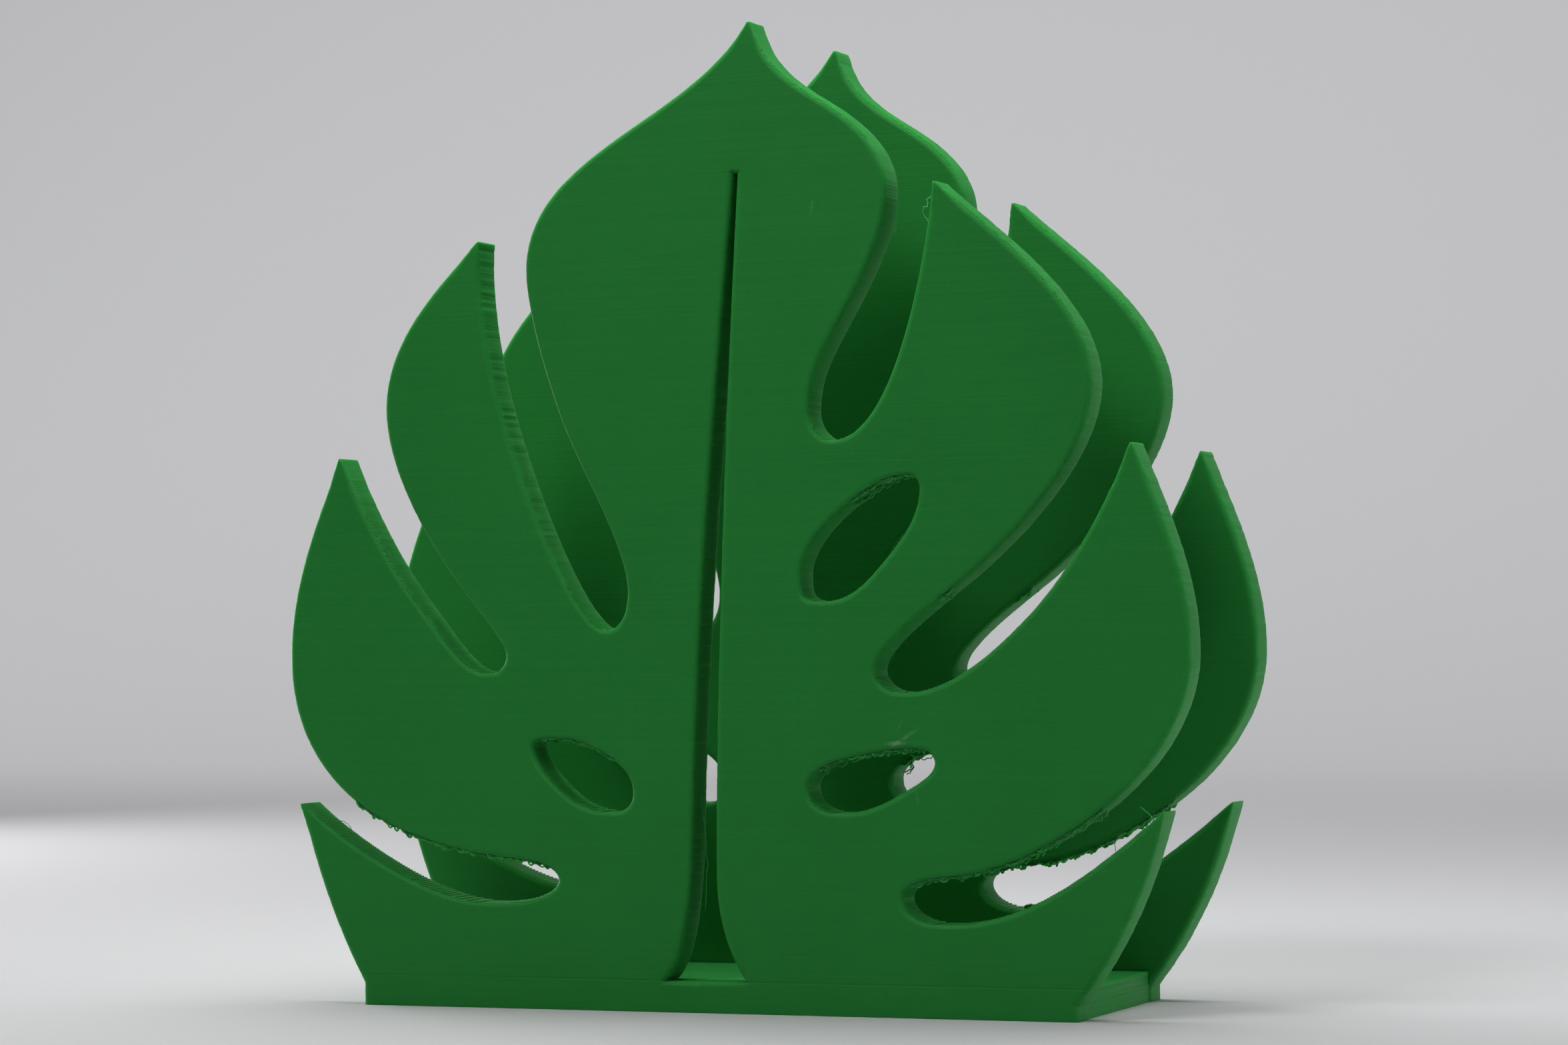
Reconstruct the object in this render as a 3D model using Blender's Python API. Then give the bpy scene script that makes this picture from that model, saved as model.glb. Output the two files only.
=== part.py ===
"""Leaf-shaped napkin holder, printed standing up as one piece of green plastic.

Two identical Swiss cheese plant leaves, each a flat plate, stand on a rectangular base. Napkins
stand between them. Every size is in millimetres until it is scaled to metres on the way into a mesh.

Frame: +Z up, the front leaf faces -Y, +X to the right of someone who looks at that leaf.
The origin is the centre of the base's underside.
"""

import bmesh
import bpy
from mathutils import Vector
from mathutils.geometry import interpolate_bezier
from math import cos, radians, sin

MM = 0.001

BASE_LENGTH = 100.0
BASE_HEIGHT = 4.0
LEAF_THICKNESS = 5.0
NAPKIN_GAP = 25.0
DEPTH = NAPKIN_GAP + 2 * LEAF_THICKNESS
FRONT = -DEPTH / 2
BACK = DEPTH / 2
HALF_BASE = BASE_LENGTH / 2

# The base's own block stops this far inside the outer faces of the leaves.
BASE_INSET = 2.0
# How far a cutter passes the faces that it cuts.
CUT_MARGIN = 3.0
POINTS_PER_CURVE = 8

LEAF_GREEN = (0.045, 0.30, 0.085, 1.0)
LEAF_ROUGHNESS = 0.45


def smooth(x, z, heading, back, ahead):
    """A point where the edge runs on in one direction.

    heading is in degrees, 0 towards +X and 90 straight up. back and ahead say how far the
    curve keeps to that heading before and after the point.
    """
    return (x, z, heading, back, heading, ahead)


def corner(x, z, heading_in, back, heading_out, ahead):
    """A point where the edge turns sharply, such as the tip of a lobe."""
    return (x, z, heading_in, back, heading_out, ahead)


# The leaf's edge, anticlockwise as seen from the front, from its foot at the right end of the base.
LEAF_EDGE = [
    corner(HALF_BASE, 2.0, 90, 0, 51, 9),
    # lowest right lobe, and the slot above it
    corner(61.7, 26.3, 77, 9, 219, 12),
    smooth(32.7, 11.8, 180, 11, 3.3),
    smooth(26.9, 14.9, 92, 1.7, 1.6),
    smooth(32.6, 17.7, 4, 3, 7),
    # middle right lobe, and the slot above it
    smooth(50.7, 24.4, 32, 7, 8),
    smooth(65.3, 46.3, 90, 10, 9),
    corner(58.0, 72.1, 113, 9, 246, 9),
    smooth(43.2, 49.6, 223, 9, 8),
    smooth(27.6, 41.1, 180, 5, 2.2),
    smooth(23.6, 43.9, 90, 1.5, 3),
    # upper right lobe, and the slot above it
    smooth(36.4, 55.9, 38, 6, 8),
    smooth(53.0, 79.8, 90, 9, 10),
    corner(32.4, 105.9, 139, 11, 262, 13),
    smooth(18.2, 73.4, 180, 8, 1.8),
    smooth(14.9, 77.3, 90, 2, 5),
    # top lobe
    smooth(20.3, 90.3, 60, 5, 6),
    smooth(25.9, 105.2, 90, 5, 5.5),
    smooth(16.2, 117.6, 148, 6, 6.5),
    corner(7.3, 128.0, 108, 5, 234, 8),
    smooth(-9.8, 114.8, 210, 7, 9),
    smooth(-25.05, 97.0, 270, 8.5, 5),
    smooth(-20.2, 77.5, 291, 6, 8),
    smooth(-10.8, 54.4, 270, 6, 3),
    # the slot below it, and the upper left lobe
    smooth(-13.8, 49.5, 180, 1.6, 3.5),
    smooth(-25.2, 67.8, 111, 8, 12),
    corner(-31.9, 101.3, 89, 12, 224, 8),
    smooth(-46.05, 79.3, 270, 9.5, 6.5),
    smooth(-36.3, 57.0, 307, 9, 6),
    smooth(-28.5, 46.3, 270, 1.8, 1.3),
    # the slot below it, and the middle left lobe
    smooth(-30.8, 44.0, 180, 1.2, 4),
    smooth(-40.5, 52.2, 130, 5, 9),
    corner(-53.0, 73.2, 115, 8, 247, 9),
    smooth(-60.75, 46.3, 270, 10, 10),
    smooth(-49.0, 25.6, 328, 8, 7),
    smooth(-26.0, 19.4, 355, 8, 2.5),
    # the slot below it, the lowest left lobe, and the left end of the base
    smooth(-21.2, 16.9, 268, 1.2, 2),
    smooth(-31.0, 13.8, 180, 5, 9),
    corner(-59.45, 27.0, 142, 10, 285, 9),
    corner(-HALF_BASE, 3.0, 300, 9, 270, 0),
    corner(-HALF_BASE, 0.0, 270, 0, 0, 0),
    corner(HALF_BASE, 0.0, 0, 0, 90, 0),
]

# The three holes and the slit of the midrib, anticlockwise too.
LEFT_HOLE = [
    smooth(-24.8, 34.3, 270, 0.6, 0.7),
    smooth(-22.7, 30.6, 314, 2, 4.5),
    smooth(-13.0, 25.8, 0, 4.5, 1.4),
    smooth(-10.35, 28.3, 90, 1.6, 2.2),
    smooth(-14.5, 33.4, 153, 2.8, 4),
    smooth(-22.6, 35.4, 180, 3.5, 1.4),
]
UPPER_RIGHT_HOLE = [
    smooth(16.5, 52.8, 0, 2.9, 4),
    smooth(25.2, 58.0, 47, 4, 4),
    smooth(29.9, 66.8, 90, 3, 1.3),
    smooth(28.2, 68.7, 180, 0.9, 3.2),
    smooth(18.2, 63.6, 220, 4, 3),
    smooth(13.5, 56.2, 270, 2.6, 2.2),
]
LOWER_RIGHT_HOLE = [
    smooth(18.6, 25.8, 0, 2.5, 4),
    smooth(27.7, 28.7, 28, 3.5, 2.5),
    smooth(31.5, 32.2, 90, 1.2, 0.9),
    smooth(29.2, 34.0, 180, 1.3, 3),
    smooth(20.5, 32.9, 190, 3.5, 3.2),
    smooth(14.2, 29.0, 270, 2, 2),
]
MIDRIB_SLIT = [
    corner(-6.1, BASE_HEIGHT, 225, 5, 0, 0),
    corner(5.4, BASE_HEIGHT, 0, 0, 125, 4),
    smooth(1.35, 17.5, 90, 6, 18),
    corner(5.45, 108.3, 86, 35, 176, 0),
    corner(4.8, 108.4, 176, 0, 264, 27),
    smooth(-1.85, 28.0, 268, 25, 10),
]


def handle(x, z, heading, reach):
    return Vector((x + reach * cos(radians(heading)), 0, z + reach * sin(radians(heading))))


def trace(anchors):
    """The points of a closed edge: curves through its anchors, one step along straight stretches."""
    points = []
    for this, following in zip(anchors, anchors[1:] + anchors[:1]):
        x, z, _, _, heading, ahead = this
        next_x, next_z, next_heading, back, _, _ = following
        start = Vector((x, 0, z))
        if ahead == 0 and back == 0:
            points.append(start)
            continue
        leave = handle(x, z, heading, ahead)
        arrive = handle(next_x, next_z, next_heading, -back)
        end = Vector((next_x, 0, next_z))
        points += interpolate_bezier(start, leave, arrive, end, POINTS_PER_CURVE + 1)[:-1]
    return points


def plate(name, anchors, low_y, high_y):
    """The closed solid between two copies of an edge, one at low_y and one at high_y."""
    bm = bmesh.new()
    rim = [bm.verts.new((p.x * MM, low_y * MM, p.z * MM)) for p in trace(anchors)]
    face = bm.faces.new(rim)
    swept = bmesh.ops.extrude_face_region(bm, geom=[face])["geom"]
    moved = [item for item in swept if isinstance(item, bmesh.types.BMVert)]
    bmesh.ops.translate(bm, verts=moved, vec=(0, (high_y - low_y) * MM, 0))
    bmesh.ops.recalc_face_normals(bm, faces=bm.faces)
    return add_object(name, bm)


def block(name, size, centre):
    bm = bmesh.new()
    bmesh.ops.create_cube(bm, size=1)
    bmesh.ops.scale(bm, vec=[side * MM for side in size], verts=bm.verts)
    bmesh.ops.translate(bm, vec=[place * MM for place in centre], verts=bm.verts)
    return add_object(name, bm)


def add_object(name, bm):
    mesh = bpy.data.meshes.new(name)
    bm.to_mesh(mesh)
    bm.free()
    obj = bpy.data.objects.new(name, mesh)
    bpy.context.collection.objects.link(obj)
    return obj


def combine(target, operand, operation):
    """Adds operand to target, or cuts it away, and leaves operand as a wire guide."""
    modifier = target.modifiers.new(operand.name, "BOOLEAN")
    modifier.operation = operation
    modifier.solver = "EXACT"
    modifier.object = operand
    operand.hide_render = True
    operand.display_type = "WIRE"


def green_plastic():
    material = bpy.data.materials.new("green_plastic")
    material.use_nodes = True
    shader = material.node_tree.nodes["Principled BSDF"]
    shader.inputs["Base Color"].default_value = LEAF_GREEN
    shader.inputs["Roughness"].default_value = LEAF_ROUGHNESS
    shader.inputs["Metallic"].default_value = 0.0
    return material


def build_napkin_holder():
    size = (BASE_LENGTH, DEPTH - 2 * BASE_INSET, BASE_HEIGHT)
    holder = block("napkin_holder", size, (0, 0, BASE_HEIGHT / 2))
    front_leaf = plate("front_leaf_guide", LEAF_EDGE, FRONT, FRONT + LEAF_THICKNESS)
    back_leaf = plate("back_leaf_guide", LEAF_EDGE, BACK - LEAF_THICKNESS, BACK)
    combine(holder, front_leaf, "UNION")
    combine(holder, back_leaf, "UNION")
    openings = {
        "left_hole_cutter": LEFT_HOLE,
        "upper_right_hole_cutter": UPPER_RIGHT_HOLE,
        "lower_right_hole_cutter": LOWER_RIGHT_HOLE,
        "midrib_slit_cutter": MIDRIB_SLIT,
    }
    for name, edge in openings.items():
        cutter = plate(name, edge, FRONT - CUT_MARGIN, BACK + CUT_MARGIN)
        combine(holder, cutter, "DIFFERENCE")
    holder.data.materials.append(green_plastic())
    return holder


def main():
    for obj in list(bpy.data.objects):
        bpy.data.objects.remove(obj)
    build_napkin_holder()


main()
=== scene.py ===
"""Leaf-shaped napkin holder, printed standing up in green plastic: its looks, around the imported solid.

The print is built as it was made: layer on layer from the base up, each layer a flat bead-edged
slab with rounded corners. Lengths are in millimetres until they go into a mesh.
"""

from math import cos, pi, radians, sin

import bpy
import numpy as np
from mathutils import Matrix, Vector


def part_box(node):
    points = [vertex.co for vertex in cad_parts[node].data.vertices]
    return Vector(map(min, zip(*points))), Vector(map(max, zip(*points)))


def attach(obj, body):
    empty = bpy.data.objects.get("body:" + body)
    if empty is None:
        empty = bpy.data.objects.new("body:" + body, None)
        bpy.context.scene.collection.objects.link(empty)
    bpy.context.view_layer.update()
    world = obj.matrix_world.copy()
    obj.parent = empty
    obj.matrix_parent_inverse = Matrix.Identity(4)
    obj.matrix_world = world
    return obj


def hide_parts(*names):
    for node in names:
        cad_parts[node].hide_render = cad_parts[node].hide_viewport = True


MM = 0.001
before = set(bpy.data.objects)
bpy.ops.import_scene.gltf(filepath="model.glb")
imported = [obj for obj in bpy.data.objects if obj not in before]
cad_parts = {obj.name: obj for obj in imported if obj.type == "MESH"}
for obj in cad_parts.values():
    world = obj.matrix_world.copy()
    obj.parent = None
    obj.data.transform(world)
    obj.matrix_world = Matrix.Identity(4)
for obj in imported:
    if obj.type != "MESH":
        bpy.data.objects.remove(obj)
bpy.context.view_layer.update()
box_low, box_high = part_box("napkin_holder")
LEFT = box_low.x / MM
RIGHT = box_high.x / MM
FRONT = box_low.y / MM
BACK = box_high.y / MM
HEIGHT = box_high.z / MM

LEAF_THICKNESS = 5.0
BASE_HEIGHT = 4.0
HALF_BASE = 50.0
LAYER = 0.2
# Each layer's side is upright between its shoulders, and leans to meet the next one beyond them.
SHOULDER = 0.04
# Layers never lie exactly on each other: a slab's ends and its faces are out by up to this much.
SHIFT = 0.028
FACE_SHIFT = 0.004
# Spans thinner than this aren't printed, and slabs that overlap by less don't join.
THINNEST = 0.12
# The outermost beads stay this far inside the holder's full width.
INSIDE = 0.012
# A bead comes out this much wide of the drawn edge where nothing pulls it in.
WIDE = 0.15
# The walls also wander in and out by this much, a knot of that wave every so many layers.
WAVE = 0.12
WAVE_LAYERS = 2.5
# The print has a faint line all round where the base's last layer ends.
HULL_LINE = 0.03
# The rounding of a leaf's edges. It fades to a share of that within this reach of a lobe's tip.
FILLET = 0.7
TIP_REACH = 5.0
TIP_SHARE = 0.3
# A quarter circle in steps: how far from the edge each one is, as a share of the radius.
ARC = [1 - sin(radians(90 - 30 * step)) for step in range(4)]
# One more bend lies just past the rounding, on the flat, so that the flat is shaded flat.
BEYOND = 1.35
# The width of the cells in which the distance to the nearest edge is kept.
CELL = 0.1
# Bends keep this far from the ends of a slab, and this far from each other.
END_CLEAR = 0.02
BEND_CLEAR = 0.015
# Where two edges are close, their roundings meet in a ridge. It is kept if it is this far from flat.
RIDGE = 0.95
# Points of two rows, one above the other, are a pair if they are this close along x.
PAIR = 0.04
# The foot stands on the printer's plate, so its lowest edge isn't rounded.
FOOT_CLEAR = 0.01
# A closely traced edge has a point every so often.
CLOSE = 0.05
# Undersides flatter than this slope (rise over run) came out with sagging threads. This share of
# them lies in a band just behind the front face.
FLAT = 0.75
AT_THE_FRONT = 0.45
FRONT_BAND = (0.2, 0.5)
# The others keep this far from both faces. A thread starts a little inside the plastic.
FACE_CLEAR = 0.35
SUNK = 0.12
MOST_SAG = 0.6
THREAD_RADIUS = (0.11, 0.19)
# The base slab stops this short of the base's two ends, and bites this far into each leaf.
BASE_SHORT = 0.25
BASE_BITE = 0.5
BASE_ROUNDING = 0.3
# In metres: where the floor starts to bend up into the backdrop, and the radius of the bend.
COVE_START = 0.9
COVE = 1.0


def smooth(x, z, heading, back, ahead):
    """A point where the edge runs on in one direction.

    heading is in degrees, 0 towards +X and 90 straight up. back and ahead say how far the
    curve keeps to that heading before and after the point.
    """
    return (x, z, heading, back, heading, ahead)


def corner(x, z, heading_in, back, heading_out, ahead):
    """A point where the edge turns sharply, such as the tip of a lobe."""
    return (x, z, heading_in, back, heading_out, ahead)


# The leaf's edge, anticlockwise as seen from the front, from its foot at the right end of the base.
LEAF_EDGE = [
    corner(HALF_BASE, 2.0, 90, 0, 51, 9),
    # lowest right lobe, and the slot above it
    corner(61.7, 26.3, 77, 9, 219, 12),
    smooth(32.7, 11.8, 180, 11, 3.3),
    smooth(26.9, 14.9, 92, 1.7, 1.6),
    smooth(32.6, 17.7, 4, 3, 7),
    # middle right lobe, and the slot above it
    smooth(50.7, 24.4, 32, 7, 8),
    smooth(65.3, 46.3, 90, 10, 9),
    corner(58.0, 72.1, 113, 9, 246, 9),
    smooth(43.2, 49.6, 223, 9, 8),
    smooth(27.6, 41.1, 180, 5, 2.2),
    smooth(23.6, 43.9, 90, 1.5, 3),
    # upper right lobe, and the slot above it
    smooth(36.4, 55.9, 38, 6, 8),
    smooth(53.0, 79.8, 90, 9, 10),
    corner(32.4, 105.9, 139, 11, 262, 13),
    smooth(18.2, 73.4, 180, 8, 1.8),
    smooth(14.9, 77.3, 90, 2, 5),
    # top lobe
    smooth(20.3, 90.3, 60, 5, 6),
    smooth(25.9, 105.2, 90, 5, 5.5),
    smooth(16.2, 117.6, 148, 6, 6.5),
    corner(7.3, 128.0, 108, 5, 234, 8),
    smooth(-9.8, 114.8, 210, 7, 9),
    smooth(-25.05, 97.0, 270, 8.5, 5),
    smooth(-20.2, 77.5, 291, 6, 8),
    smooth(-10.8, 54.4, 270, 6, 3),
    # the slot below it, and the upper left lobe
    smooth(-13.8, 49.5, 180, 1.6, 3.5),
    smooth(-25.2, 67.8, 111, 8, 12),
    corner(-31.9, 101.3, 89, 12, 224, 8),
    smooth(-46.05, 79.3, 270, 9.5, 6.5),
    smooth(-36.3, 57.0, 307, 9, 6),
    smooth(-28.5, 46.3, 270, 1.8, 1.3),
    # the slot below it, and the middle left lobe
    smooth(-30.8, 44.0, 180, 1.2, 4),
    smooth(-40.5, 52.2, 130, 5, 9),
    corner(-53.0, 73.2, 115, 8, 247, 9),
    smooth(-60.75, 46.3, 270, 10, 10),
    smooth(-49.0, 25.6, 328, 8, 7),
    smooth(-26.0, 19.4, 355, 8, 2.5),
    # the slot below it, the lowest left lobe, and the left end of the base
    smooth(-21.2, 16.9, 268, 1.2, 2),
    smooth(-31.0, 13.8, 180, 5, 9),
    corner(-59.45, 27.0, 142, 10, 285, 9),
    corner(-HALF_BASE, 3.0, 300, 9, 270, 0),
    corner(-HALF_BASE, 0.0, 270, 0, 0, 0),
    corner(HALF_BASE, 0.0, 0, 0, 90, 0),
]

# The three holes and the slit of the midrib, anticlockwise too.
LEFT_HOLE = [
    smooth(-24.8, 34.3, 270, 0.6, 0.7),
    smooth(-22.7, 30.6, 314, 2, 4.5),
    smooth(-13.0, 25.8, 0, 4.5, 1.4),
    smooth(-10.35, 28.3, 90, 1.6, 2.2),
    smooth(-14.5, 33.4, 153, 2.8, 4),
    smooth(-22.6, 35.4, 180, 3.5, 1.4),
]
UPPER_RIGHT_HOLE = [
    smooth(16.5, 52.8, 0, 2.9, 4),
    smooth(25.2, 58.0, 47, 4, 4),
    smooth(29.9, 66.8, 90, 3, 1.3),
    smooth(28.2, 68.7, 180, 0.9, 3.2),
    smooth(18.2, 63.6, 220, 4, 3),
    smooth(13.5, 56.2, 270, 2.6, 2.2),
]
LOWER_RIGHT_HOLE = [
    smooth(18.6, 25.8, 0, 2.5, 4),
    smooth(27.7, 28.7, 28, 3.5, 2.5),
    smooth(31.5, 32.2, 90, 1.2, 0.9),
    smooth(29.2, 34.0, 180, 1.3, 3),
    smooth(20.5, 32.9, 190, 3.5, 3.2),
    smooth(14.2, 29.0, 270, 2, 2),
]
MIDRIB_SLIT = [
    corner(-6.1, BASE_HEIGHT, 225, 5, 0, 0),
    corner(5.4, BASE_HEIGHT, 0, 0, 125, 4),
    smooth(1.35, 17.5, 90, 6, 18),
    corner(5.45, 108.3, 86, 35, 176, 0),
    corner(4.8, 108.4, 176, 0, 264, 27),
    smooth(-1.85, 28.0, 268, 25, 10),
]
CUTS = (LEFT_HOLE, UPPER_RIGHT_HOLE, LOWER_RIGHT_HOLE, MIDRIB_SLIT)
TIPS = [anchor for anchor in LEAF_EDGE if anchor[2] != anchor[4] and anchor[1] > 20]
CURVE_STEPS = 40


def handle(x, z, heading, reach):
    return np.array((x + reach * cos(radians(heading)), z + reach * sin(radians(heading))))


def trace(anchors):
    """Close points round a closed edge, as rows of x and z."""
    share = np.linspace(0, 1, CURVE_STEPS, endpoint=False)[:, None]
    rest = 1 - share
    stretches = []
    for this, following in zip(anchors, anchors[1:] + anchors[:1]):
        start = np.array(this[:2])
        leave = handle(this[0], this[1], this[4], this[5])
        arrive = handle(following[0], following[1], following[2], -following[3])
        end = np.array(following[:2])
        stretches.append(
            rest**3 * start + 3 * rest**2 * share * leave + 3 * rest * share**2 * arrive + share**3 * end
        )
    return np.vstack(stretches)


def closer(points):
    """The same edge with a point every CLOSE."""
    closed = np.vstack([points, points[:1]])
    length = np.concatenate([[0], np.cumsum(np.hypot(*np.diff(closed, axis=0).T))])
    even = np.arange(0, length[-1], CLOSE)
    return np.column_stack([np.interp(even, length, closed[:, i]) for i in (0, 1)])


def spans_at(edges, z):
    """Where the solid inside these edges lies at height z: pairs of x, from left to right."""
    found = []
    for points in edges:
        following = np.roll(points, -1, axis=0)
        passes = (points[:, 1] > z) != (following[:, 1] > z)
        one, two = points[passes], following[passes]
        found += list(one[:, 0] + (z - one[:, 1]) / (two[:, 1] - one[:, 1]) * (two[:, 0] - one[:, 0]))
    found.sort()
    return [(a, b) for a, b in zip(found[::2], found[1::2]) if b - a > THINNEST]


def fillet_depth(distance, radius):
    """How far a rounded face lies behind its flat part, at this distance from its edge."""
    short = np.clip(radius - distance, 0, None)
    return radius - np.sqrt(np.clip(radius**2 - short**2, 0, None))


class SquareRounding:
    """For a plain block: only its upright edges are rounded."""

    def __init__(self, radius):
        self.radius = radius

    def profile(self, layer, drawn, real):
        left, right = real
        steps = [self.radius * share for share in ARC]
        places = [left + step for step in steps] + [right - step for step in reversed(steps)]
        reach = [min(x - left, right - x) for x in places]
        return places, fillet_depth(np.array(reach), self.radius)


class LeafRounding:
    """The fillet that runs round every edge of a leaf, and fades towards the tips of its lobes."""

    def __init__(self, edges, layer_count):
        points = np.vstack([closer(edge) for edge in edges])
        points = points[points[:, 1] > FOOT_CLEAR]
        self.start = points[:, 0].min() - 2
        cells = int((points[:, 0].max() + 2 - self.start) / CELL)
        self.places = self.start + np.arange(cells) * CELL
        self.distance = np.full((layer_count, cells), 2 * FILLET)
        rows = np.floor(points[:, 1] / LAYER).astype(int)
        columns = np.round((points[:, 0] - self.start) / CELL).astype(int)
        high_reach = int(FILLET / LAYER) + 1
        wide_reach = int(FILLET / CELL) + 1
        for up in range(-high_reach, high_reach + 1):
            for along in range(-wide_reach, wide_reach + 1):
                row, column = rows + up, columns + along
                real = (row >= 0) & (row < layer_count)
                row, column = row[real], column[real]
                far = np.hypot(
                    self.places[column] - points[real, 0], (row + 0.5) * LAYER - points[real, 1]
                )
                np.minimum.at(self.distance, (row, column), far)
        height = (np.arange(layer_count) + 0.5)[:, None] * LAYER
        nearest_tip = np.min(
            [np.hypot(self.places - x, height - z) for x, z, _, _, _, _ in TIPS], axis=0
        )
        share = np.clip(nearest_tip / TIP_REACH, 0, 1)
        self.radius = FILLET * (TIP_SHARE + (1 - TIP_SHARE) * share**2 * (3 - 2 * share))

    def profile(self, layer, drawn, real):
        """Where a slab's face bends between its two ends: the places along x, and how far back each is.

        drawn is where the drawn edges are, and real is where the slab ends.
        """
        left, right = real
        first, last = max(left, drawn[0]) + END_CLEAR, min(right, drawn[1]) - END_CLEAR
        inside = (self.places > first) & (self.places < last)
        radius_at = np.interp(real, self.places, self.radius[layer])
        places = np.concatenate([[left], self.places[inside], [right]])
        radius = np.concatenate([radius_at[:1], self.radius[layer][inside], radius_at[1:]])
        distance = np.concatenate([[0], self.distance[layer][inside] + WIDE / 2, [0]])
        level = distance / radius
        kept = [left, right]
        for step in ARC[1:] + [BEYOND]:
            passes = (level[:-1] < step) != (level[1:] < step)
            one, two = places[:-1][passes], places[1:][passes]
            low, top = level[:-1][passes], level[1:][passes]
            kept += list(one + (step - low) / (top - low) * (two - one))
        dips = (level[1:-1] < level[:-2]) & (level[1:-1] < level[2:]) & (level[1:-1] < RIDGE)
        kept += list(places[1:-1][dips])
        kept = np.unique(np.round(kept, 4))
        kept = kept[np.concatenate([[True], np.diff(kept) > BEND_CLEAR])]
        kept[-1] = right
        depth = fillet_depth(np.interp(kept, places, distance), np.interp(kept, places, radius))
        return list(kept), depth


class Ring:
    """The points round one slab at one height: x along it, and the points of its front and back."""

    def __init__(self, places, front, back):
        self.places = places
        self.front = front
        self.back = back


class Stack:
    """A solid printed in layers. Each layer is one or more slabs between two values of x."""

    def __init__(self, front, back, rounding, random):
        self.front = front
        self.back = back
        self.rounding = rounding
        self.random = random
        self.points = []
        self.faces = []
        self.soft = []
        self.left_wave, self.right_wave = random.uniform(0, WAVE, (2, 400))
        self.reach = (LEFT + INSIDE, RIGHT - INSIDE)

    @staticmethod
    def wave(layer, knots):
        return float(np.interp(layer / WAVE_LAYERS, np.arange(len(knots)), knots))

    def ring(self, places, front, back, z):
        start = len(self.points)
        count = len(places)
        self.points += [(x, y, z) for x, y in zip(places, front)]
        self.points += [(x, y, z) for x, y in zip(places, back)]
        return Ring(
            places, list(range(start, start + count)), list(range(start + count, start + 2 * count))
        )

    def face(self, corners, soft=False):
        self.faces.append(tuple(corners))
        self.soft.append(soft)

    def zip_faces(self, low_x, low, top_x, top, outward, soft):
        """Fills the band between two rows of points that both run from left to right."""
        i = j = 0
        while i < len(low) - 1 or j < len(top) - 1:
            more_low, more_top = i < len(low) - 1, j < len(top) - 1
            if more_low and more_top and abs(low_x[i + 1] - top_x[j + 1]) < PAIR:
                corners = (low[i], low[i + 1], top[j + 1], top[j])
                i, j = i + 1, j + 1
            elif more_low and (not more_top or low_x[i + 1] < top_x[j + 1]):
                corners = (low[i], low[i + 1], top[j])
                i += 1
            else:
                corners = (low[i], top[j + 1], top[j])
                j += 1
            self.face(corners if outward else corners[::-1], soft)

    def join(self, lower, upper, soft=False):
        """Closes the solid between the rings of one height and those of the next."""
        low_x, low_front, low_back = self.row(lower)
        top_x, top_front, top_back = self.row(upper)
        self.zip_faces(low_x, low_front, top_x, top_front, True, soft)
        self.zip_faces(low_x, low_back, top_x, top_back, False, soft)
        self.face((low_front[-1], low_back[-1], top_back[-1], top_front[-1]), soft)
        self.face((low_back[0], low_front[0], top_front[0], top_back[0]), soft)
        for rings, is_floor in ((upper, True), (lower, False)):
            for one, two in zip(rings, rings[1:]):
                corners = (one.front[-1], two.front[0], two.back[0], one.back[-1])
                self.face(corners if is_floor else corners[::-1])

    @staticmethod
    def row(rings):
        return (
            [x for ring in rings for x in ring.places],
            [i for ring in rings for i in ring.front],
            [i for ring in rings for i in ring.back],
        )

    def cap(self, ring, faces_up):
        corners = ring.front + ring.back[::-1]
        self.face(corners if faces_up else corners[::-1])

    def slab(self, layer, span, z, top):
        left = span[0] - WIDE + self.random.uniform(0, SHIFT) + self.wave(layer, self.left_wave)
        right = span[1] + WIDE - self.random.uniform(0, SHIFT) - self.wave(layer, self.right_wave)
        left, right = max(left, self.reach[0]), min(right, self.reach[1])
        places, depth = self.rounding.profile(layer, span, (left, right))
        front = self.front + self.front_shift + depth
        back = self.back - self.back_shift - depth
        lower = self.ring(places, front, back, z)
        upper = self.ring(places, front, back, top)
        self.join([lower], [upper], soft=True)
        return lower, upper

    def build(self, layers):
        """Adds every layer, each a list of spans of x, from the height 0 up."""
        below = []
        for layer, spans in enumerate(layers + [[]]):
            z = layer * LAYER
            self.front_shift, self.back_shift = self.random.uniform(0, FACE_SHIFT, 2)
            if z > BASE_HEIGHT - LAYER / 2 and z < BASE_HEIGHT + LAYER / 2:
                self.front_shift, self.back_shift = HULL_LINE, HULL_LINE
            bottom = z + SHOULDER if layer else 0
            here = [(span, *self.slab(layer, span, bottom, z + LAYER - SHOULDER)) for span in spans]
            self.connect(below, here)
            below = here

    def connect(self, below, here):
        def meet(one, two):
            return min(one[0][1], two[0][1]) - max(one[0][0], two[0][0]) > THINNEST

        closed = set()
        for old in below:
            above = [new for new in here if meet(old, new)]
            under = [other for other in below if above and meet(other, above[0])]
            if not above:
                self.cap(old[2], True)
            elif len(above) > 1 or len(under) == 1:
                self.join([old[2]], [new[1] for new in above])
            elif old is under[0]:
                self.join([other[2] for other in under], [above[0][1]])
            closed.update(id(new) for new in above)
        for new in here:
            if id(new) not in closed:
                self.cap(new[1], False)

    def piece(self, name, material):
        return add_solid(name, self.points, self.faces, self.soft, material)


def add_solid(name, points, faces, soft, material):
    mesh = bpy.data.meshes.new(name)
    mesh.from_pydata([(x * MM, y * MM, z * MM) for x, y, z in points], [], faces)
    mesh.polygons.foreach_set("use_smooth", soft)
    mesh.materials.append(material)
    mesh.update()
    obj = bpy.data.objects.new(name, mesh)
    bpy.context.scene.collection.objects.link(obj)
    return obj


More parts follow.
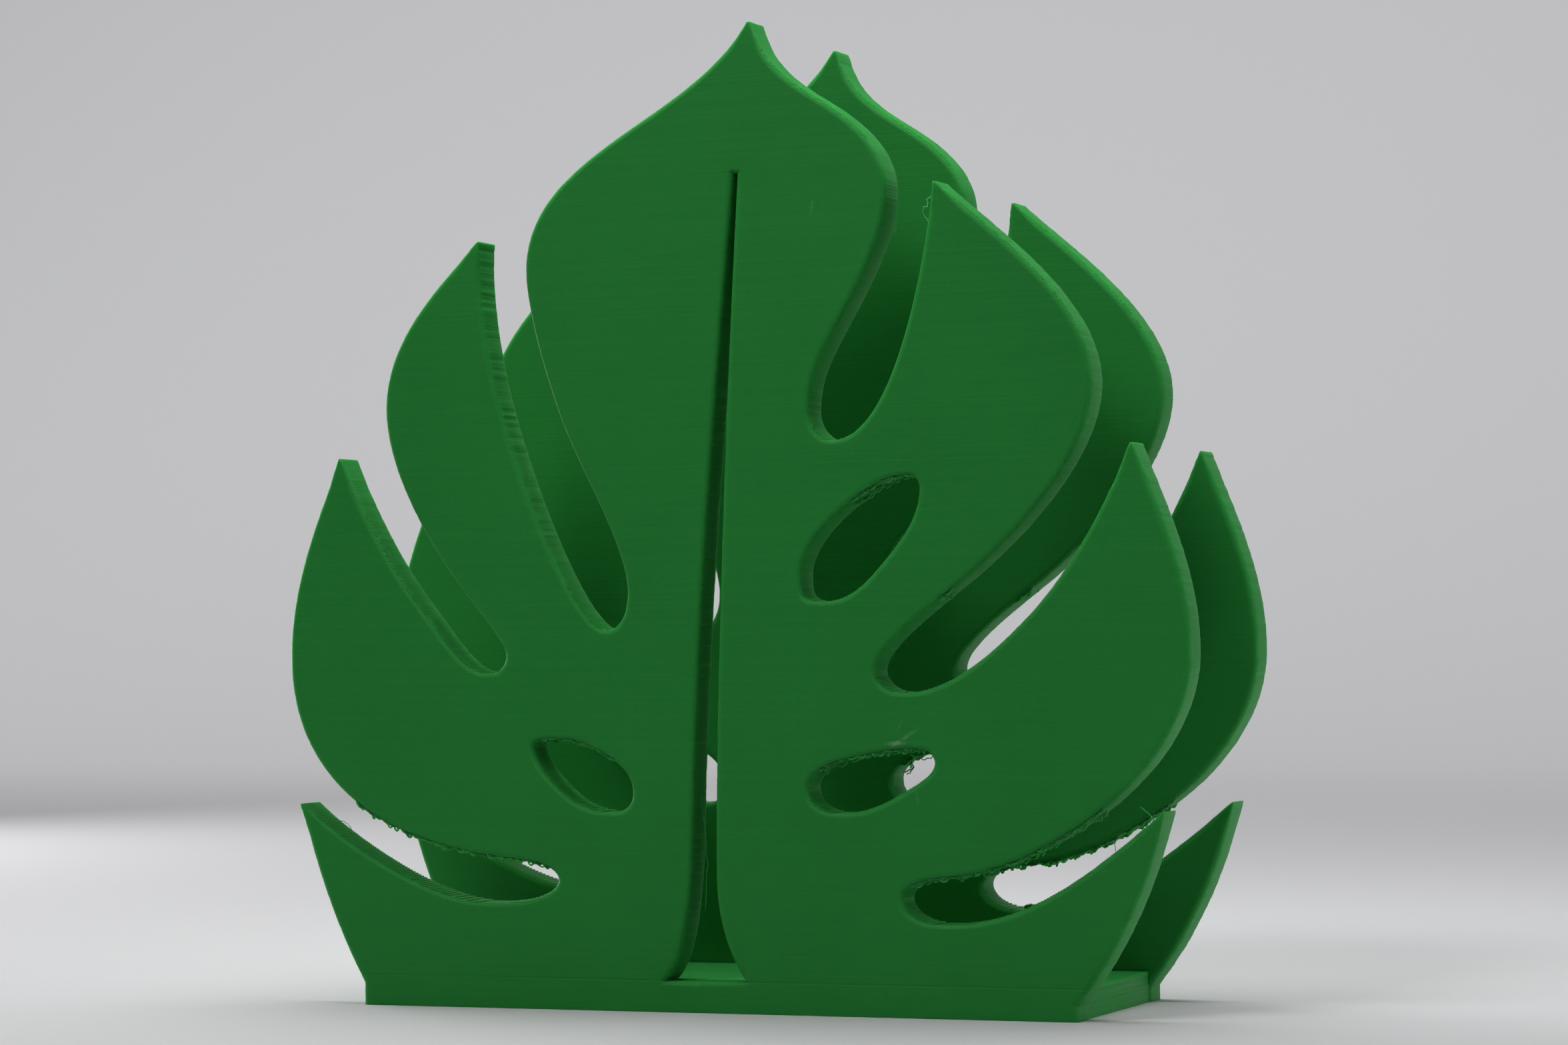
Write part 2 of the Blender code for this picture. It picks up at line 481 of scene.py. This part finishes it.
class Threads:
    """Loose ends of the print: short round threads, each with its own path and thickness."""

    SIDES = 6

    def __init__(self, random):
        self.random = random
        self.points = []
        self.faces = []

    def thread(self, path, radii):
        """Adds one closed thread through these points."""
        path = np.array(path)
        start = len(self.points)
        along = np.gradient(path, axis=0)
        for place, heading, radius in zip(path, along, radii):
            heading = Vector(heading).normalized()
            across = heading.cross(Vector((0.1, 1.0, 0.2))).normalized()
            up = across.cross(heading)
            for side in range(self.SIDES):
                turn = 2 * pi * side / self.SIDES
                offset = radius * (cos(turn) * across + sin(turn) * up)
                self.points.append(tuple(place + np.array(offset)))
        rings = [range(start + i * self.SIDES, start + (i + 1) * self.SIDES) for i in range(len(path))]
        for low, top in zip(rings, rings[1:]):
            for i in range(self.SIDES):
                j = (i + 1) % self.SIDES
                self.faces.append((low[i], low[j], top[j], top[i]))
        self.faces.append(tuple(reversed(rings[0])))
        self.faces.append(tuple(rings[-1]))

    def sag_under(self, edge, front):
        """Hangs threads under the flat parts of an edge that has the solid on its left."""
        points = closer(edge)
        run, rise = (np.roll(points, -1, axis=0) - points).T
        under = (run > 0) & (np.abs(rise) < FLAT * run) & (points[:, 1] > BASE_HEIGHT + 1)
        i = 0
        while i < len(points):
            i += int(self.random.integers(2, 7))
            count = int(self.random.integers(9, 32))
            if not under[i : i + count].all() or i + count > len(points):
                continue
            along = points[i : i + count : 3]
            share = np.linspace(0, 1, len(along))
            sag = min(self.random.gamma(1.2, 0.15), MOST_SAG)
            slope = self.random.uniform(-0.5, 0.5)
            clear = FACE_CLEAR + abs(slope)
            y = front + self.random.uniform(clear, LEAF_THICKNESS - clear)
            if self.random.random() < AT_THE_FRONT:
                slope, y = 0.1, front + self.random.uniform(*FRONT_BAND)
            radius = self.random.uniform(*THREAD_RADIUS)
            hang = SUNK - (SUNK + sag) * np.sin(pi * share) ** 0.8
            path = np.column_stack([along[:, 0], y + slope * share, along[:, 1] + hang])
            self.thread(path, radius * (0.75 + 0.25 * np.sin(pi * share)))

    def blob(self, centre, length, thickness, rise=0.0):
        """A fat drop lying along x, its two ends apart in height by rise."""
        share = np.linspace(0, 1, 9)
        x, y, z = centre
        wobble = self.random.uniform(-0.08, 0.08, (2, 9)) * thickness
        path = np.column_stack(
            [x + length * (share - 0.5), y + wobble[0], z + rise * (share - 0.5) + wobble[1]]
        )
        self.thread(path, 0.02 + thickness / 2 * np.sin(pi * share) ** 0.6)

    def hair(self, start, end, bow, radius, wobble=0.1):
        """A fine string between two places, bowed out by a vector in its middle."""
        share = np.linspace(0, 1, 15)[:, None]
        path = np.array(start) + share * (np.array(end) - np.array(start))
        path = path + np.sin(pi * share) * np.array(bow)
        path = path + self.random.uniform(-wobble, wobble, path.shape) * np.sin(pi * share)
        self.thread(path, np.full(15, radius))


class Value:
    """One output of a shader node, so that shader maths reads as plain expressions."""

    def __init__(self, shader, socket):
        self.shader = shader
        self.socket = socket

    def __add__(self, other):
        return self.shader.math("ADD", self, other)

    __radd__ = __add__

    def __sub__(self, other):
        return self.shader.math("SUBTRACT", self, other)

    def __rsub__(self, other):
        return self.shader.math("SUBTRACT", other, self)

    def __mul__(self, other):
        return self.shader.math("MULTIPLY", self, other)

    __rmul__ = __mul__

    def __truediv__(self, other):
        return self.shader.math("DIVIDE", self, other)


class Shader:
    """A material's nodes."""

    def __init__(self, name):
        self.material = bpy.data.materials.new(name)
        self.material.use_nodes = True
        self.tree = self.material.node_tree
        self.tree.nodes.clear()

    def node(self, kind, settings=None, inputs=None, output=0):
        """Adds a node: its settings first, then the values or links of its sockets."""
        made = self.tree.nodes.new(kind)
        for key, value in (settings or {}).items():
            setattr(made, key, value)
        for key, value in (inputs or {}).items():
            if isinstance(value, Value):
                self.tree.links.new(value.socket, made.inputs[key])
            else:
                made.inputs[key].default_value = value
        return Value(self, made.outputs[output]) if made.outputs else None

    def math(self, operation, *values):
        return self.node("ShaderNodeMath", {"operation": operation}, dict(enumerate(values)))

    def mix(self, factor, first, second):
        return self.node("ShaderNodeMix", {"data_type": "RGBA"}, {0: factor, 6: first, 7: second}, 2)

    def ease(self, value, start, end):
        """0 below start, 1 above end, and smooth between them."""
        return self.node(
            "ShaderNodeMapRange",
            {"interpolation_type": "SMOOTHSTEP"},
            {"Value": value, "From Min": start, "From Max": end},
        )

    def noise(self, vector, scale, detail=2.0, roughness=0.5):
        return self.node(
            "ShaderNodeTexNoise",
            None,
            {"Vector": vector, "Scale": scale, "Detail": detail, "Roughness": roughness},
        )

    def surface(self, **sockets):
        inputs = {key.replace("_", " "): value for key, value in sockets.items()}
        bsdf = self.node("ShaderNodeBsdfPrincipled", None, inputs)
        self.node("ShaderNodeOutputMaterial", None, {"Surface": bsdf})
        return self.material


DARKER_GREEN = (0.018, 0.20, 0.034, 1)
BRIGHTER_GREEN = (0.028, 0.30, 0.056, 1)
RUBBED_GREEN = (0.16, 0.36, 0.19, 1)
# Pale rubbed spots on the faces: x, z, heading in degrees, half length, half width and strength.
SCUFFS = (
    (27.6, 35.4, 32, 3.2, 0.35, 0.5),
    (26.4, 34.7, 2, 2.0, 0.4, 0.6),
    (27.0, 37.0, 62, 1.6, 0.25, 0.3),
    (15.8, 103.2, 80, 1.3, 0.3, 0.35),
    (27.0, 103.5, 75, 2.6, 0.5, 0.35),
    (-30.9, 98.5, 85, 2.2, 0.6, 0.45),
    (-50.2, 70.2, 70, 1.6, 0.4, 0.4),
    (-35.5, 70.3, 4, 5.0, 0.25, 0.15),
    (29.2, 27.8, 100, 1.2, 0.3, 0.3),
    (20.0, 95.2, 3, 4.0, 0.2, 0.12),
)


def scuffs(shader, x, z, grain):
    """How much of the rubbed colour shows, 0 to 1."""
    total = 0.0
    for across, up, heading, length, width, strength in SCUFFS:
        c, s = cos(radians(heading)), sin(radians(heading))
        along = ((x - across) * c + (z - up) * s) / length
        aside = ((z - up) * c - (x - across) * s) / width
        near = shader.ease(along * along + aside * aside, 1.0, 0.0)
        total = near * strength + total
    return shader.ease(total * (grain * 2.2 - 0.3), 0.0, 1.0)


def green_plastic():
    """Slightly cloudy green printing plastic, with a streak of its own in every layer."""
    shader = Shader("green_plastic")
    place = shader.node("ShaderNodeTexCoord", output="Object")
    split = shader.node("ShaderNodeSeparateXYZ", None, {0: place})
    x, y, z = (Value(shader, split.socket.node.outputs[i]) / MM for i in range(3))
    layer = shader.math("FLOOR", z / LAYER)
    along = shader.node("ShaderNodeCombineXYZ", None, {0: x * 0.12, 1: y * 0.12, 2: layer * 7.3})
    streak = shader.noise(along, 1.0, 3.0)
    own = shader.node("ShaderNodeTexWhiteNoise", {"noise_dimensions": "1D"}, {"W": layer})
    cloud = shader.noise(place, 55.0, 3.0)
    grain = shader.noise(place, 3500.0, 2.0)
    tone = (streak - 0.5) * 0.2 + (own - 0.5) * 0.1 + (cloud - 0.5) * 0.35 + (grain - 0.5) * 0.3 + 0.5
    colour = shader.mix(tone, DARKER_GREEN, BRIGHTER_GREEN)
    scuffed = scuffs(shader, x, z, grain)
    colour = shader.mix(scuffed, colour, RUBBED_GREEN)
    rough = 0.46 + (streak - 0.5) * 0.12 + (own - 0.5) * 0.05 + (grain - 0.5) * 0.1
    bump = shader.node(
        "ShaderNodeBump", None, {"Strength": 0.25, "Distance": 0.00004, "Height": grain + streak * 0.6}
    )
    return shader.surface(
        Base_Color=colour,
        Roughness=rough,
        Normal=bump,
        Subsurface_Weight=0.8,
        Subsurface_Radius=(0.6, 1.0, 0.5),
        Subsurface_Scale=0.0014,
        IOR=1.46,
        Specular_IOR_Level=0.1,
    )


def pale_card(name, shade):
    shader = Shader(name)
    place = shader.node("ShaderNodeTexCoord", output="Object")
    fibre = shader.noise(place, 400.0, 3.0)
    colour = shader.mix(fibre, tuple(c * 0.985 for c in shade) + (1,), shade + (1,))
    return shader.surface(Base_Color=colour, Roughness=0.9)


def soft_light(name, place, target, size, watts, spread=180):
    lamp = bpy.data.lights.new(name, "AREA")
    lamp.shape = "RECTANGLE"
    lamp.spread = radians(spread)
    lamp.size, lamp.size_y = size
    lamp.energy = watts
    obj = bpy.data.objects.new(name, lamp)
    obj.location = place
    obj.rotation_euler = (Vector(target) - Vector(place)).to_track_quat("-Z", "Y").to_euler()
    bpy.context.scene.collection.objects.link(obj)


def front_loose_ends(threads):
    """What the printer left behind on the front leaf, besides the sagging threads."""
    y = FRONT + LEAF_THICKNESS / 2
    threads.blob((-10.55, y - 1.2, 27.2), 0.7, 0.5)
    threads.blob((-22.6, y + 1.5, 17.9), 1.1, 0.4, 0.5)
    threads.hair((54.3, y, 22.6), (54.5, y, 19.0), (0.2, 0.1, 0), 0.05)
    threads.hair((57.2, y + 2, 26.6), (59.2, y + 2, 24.0), (0.3, 0, 0.2), 0.06)
    threads.hair((32.2, y + 1, 105.0), (31.6, y - 1, 100.2), (-1.7, 0, 0.2), 0.05, 0.35)
    threads.hair((-2.2, y, 30.0), (-1.3, y, 13.0), (0.7, 0, 0), 0.05, 0.2)
    threads.hair((-54.8, y, 24.4), (-53.2, y + 1, 22.3), (0.2, 0, 0.5), 0.05)
    threads.hair((27.0, y, 33.9), (30.6, y, 33.0), (0, 0, -0.9), 0.07, 0.25)


def back_loose_ends(threads):
    """The same, on the back leaf."""
    y = BACK - LEAF_THICKNESS / 2
    threads.blob((33.0, y, 12.0), 2.3, 0.9)
    threads.blob((36.0, y - 0.5, 17.8), 0.5, 0.5)
    threads.hair((15.2, y, 31.2), (15.0, y, 29.9), (1.6, 0, 0), 0.1, 0.3)
    threads.hair((15.1, y + 0.5, 30.9), (15.5, y, 29.6), (1.0, 0, 0.2), 0.09, 0.3)
    threads.hair((36.2, y, 18.2), (36.9, y, 18.2), (0, 0, -0.8), 0.09, 0.15)


def build_holder():
    plastic = green_plastic()
    edges = [trace(LEAF_EDGE)] + [trace(cut) for cut in CUTS]
    solid_on_left = edges[:1] + [edge[::-1] for edge in edges[1:]]
    layer_count = round(HEIGHT / LAYER)
    layers = [spans_at(edges, (i + 0.5) * LAYER) for i in range(layer_count)]
    while not layers[-1]:
        layers.pop()
    rounding = LeafRounding(edges, layer_count)
    leaves = (
        ("front_leaf", FRONT, 11, front_loose_ends),
        ("back_leaf", BACK - LEAF_THICKNESS, 23, back_loose_ends),
    )
    pieces = []
    for name, front, seed, loose_ends in leaves:
        stack = Stack(front, front + LEAF_THICKNESS, rounding, np.random.default_rng(seed))
        stack.build(layers)
        pieces.append(stack.piece(name, plastic))
        threads = Threads(np.random.default_rng(seed + 1))
        for edge in solid_on_left:
            threads.sag_under(edge, front)
        loose_ends(threads)
        soft = [True] * len(threads.faces)
        pieces.append(add_solid(name + "_threads", threads.points, threads.faces, soft, plastic))
    base = Stack(
        FRONT + LEAF_THICKNESS - BASE_BITE,
        BACK - LEAF_THICKNESS + BASE_BITE,
        SquareRounding(BASE_ROUNDING),
        np.random.default_rng(5),
    )
    base_layers = round(BASE_HEIGHT / LAYER)
    half = HALF_BASE - BASE_SHORT
    base.build([[(-half, half)]] * base_layers)
    pieces.append(base.piece("base_slab", plastic))
    for obj in pieces:
        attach(obj, "root")
        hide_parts("napkin_holder")


def sweep(material):
    """The floor and the backdrop in one sheet, with a wide bend between them."""
    bend = [(COVE_START + COVE * sin(turn), COVE * (1 - cos(turn))) for turn in np.linspace(0, pi / 2, 25)]
    section = [(-2.0, 0.0), *bend, (COVE_START + COVE, 2.5)]
    mesh = bpy.data.meshes.new("sweep")
    points = [(x, y, z) for y, z in section for x in (-3.0, 3.0)]
    faces = [(i, i + 1, i + 3, i + 2) for i in range(0, len(points) - 2, 2)]
    mesh.from_pydata(points, [], faces)
    mesh.polygons.foreach_set("use_smooth", [True] * len(faces))
    mesh.materials.append(material)
    obj = bpy.data.objects.new("sweep", mesh)
    bpy.context.scene.collection.objects.link(obj)


def build_room():
    sweep(pale_card("pale_card", (0.57, 0.57, 0.58)))
    soft_light("top_light", (0, 0.02, 0.34), (0, 0.02, 0), (0.28, 0.16), 0.75)
    soft_light("front_light", (-0.15, -0.40, 0.50), (0, 0, 0.15), (0.3, 0.15), 0.17, 50)
    soft_light("right_light", (0.60, 0.05, 0.12), (0, 0, 0.07), (0.4, 0.3), 0.85)
    soft_light("left_light", (-0.55, 0.20, 0.15), (0, 0, 0.07), (0.4, 0.3), 2.0)
    soft_light("backdrop_light", (-0.65, 0.90, 1.35), (-0.65, 1.35, 0.3), (2.8, 0.6), 17, 150)
    world = bpy.data.worlds.new("room")
    world.use_nodes = True
    world.node_tree.nodes["Background"].inputs["Color"].default_value = (0.95, 0.97, 1, 1)
    world.node_tree.nodes["Background"].inputs["Strength"].default_value = 0.08
    bpy.context.scene.world = world


def build_camera():
    lens = bpy.data.cameras.new("camera")
    lens.sensor_width = 36
    lens.lens = 95.0
    lens.clip_start = 0.01
    camera = bpy.data.objects.new("camera", lens)
    turn = Matrix.Rotation(radians(22.47), 4, "Z") @ Matrix.Rotation(radians(91.6), 4, "X")
    camera.matrix_world = (
        Matrix.Translation((0.2140, -0.5072, 0.0482)) @ turn @ Matrix.Rotation(radians(-0.7), 4, "Z")
    )
    bpy.context.scene.collection.objects.link(camera)
    bpy.context.scene.camera = camera


build_holder()
build_room()
build_camera()
bpy.context.scene.view_settings.view_transform = "Standard"
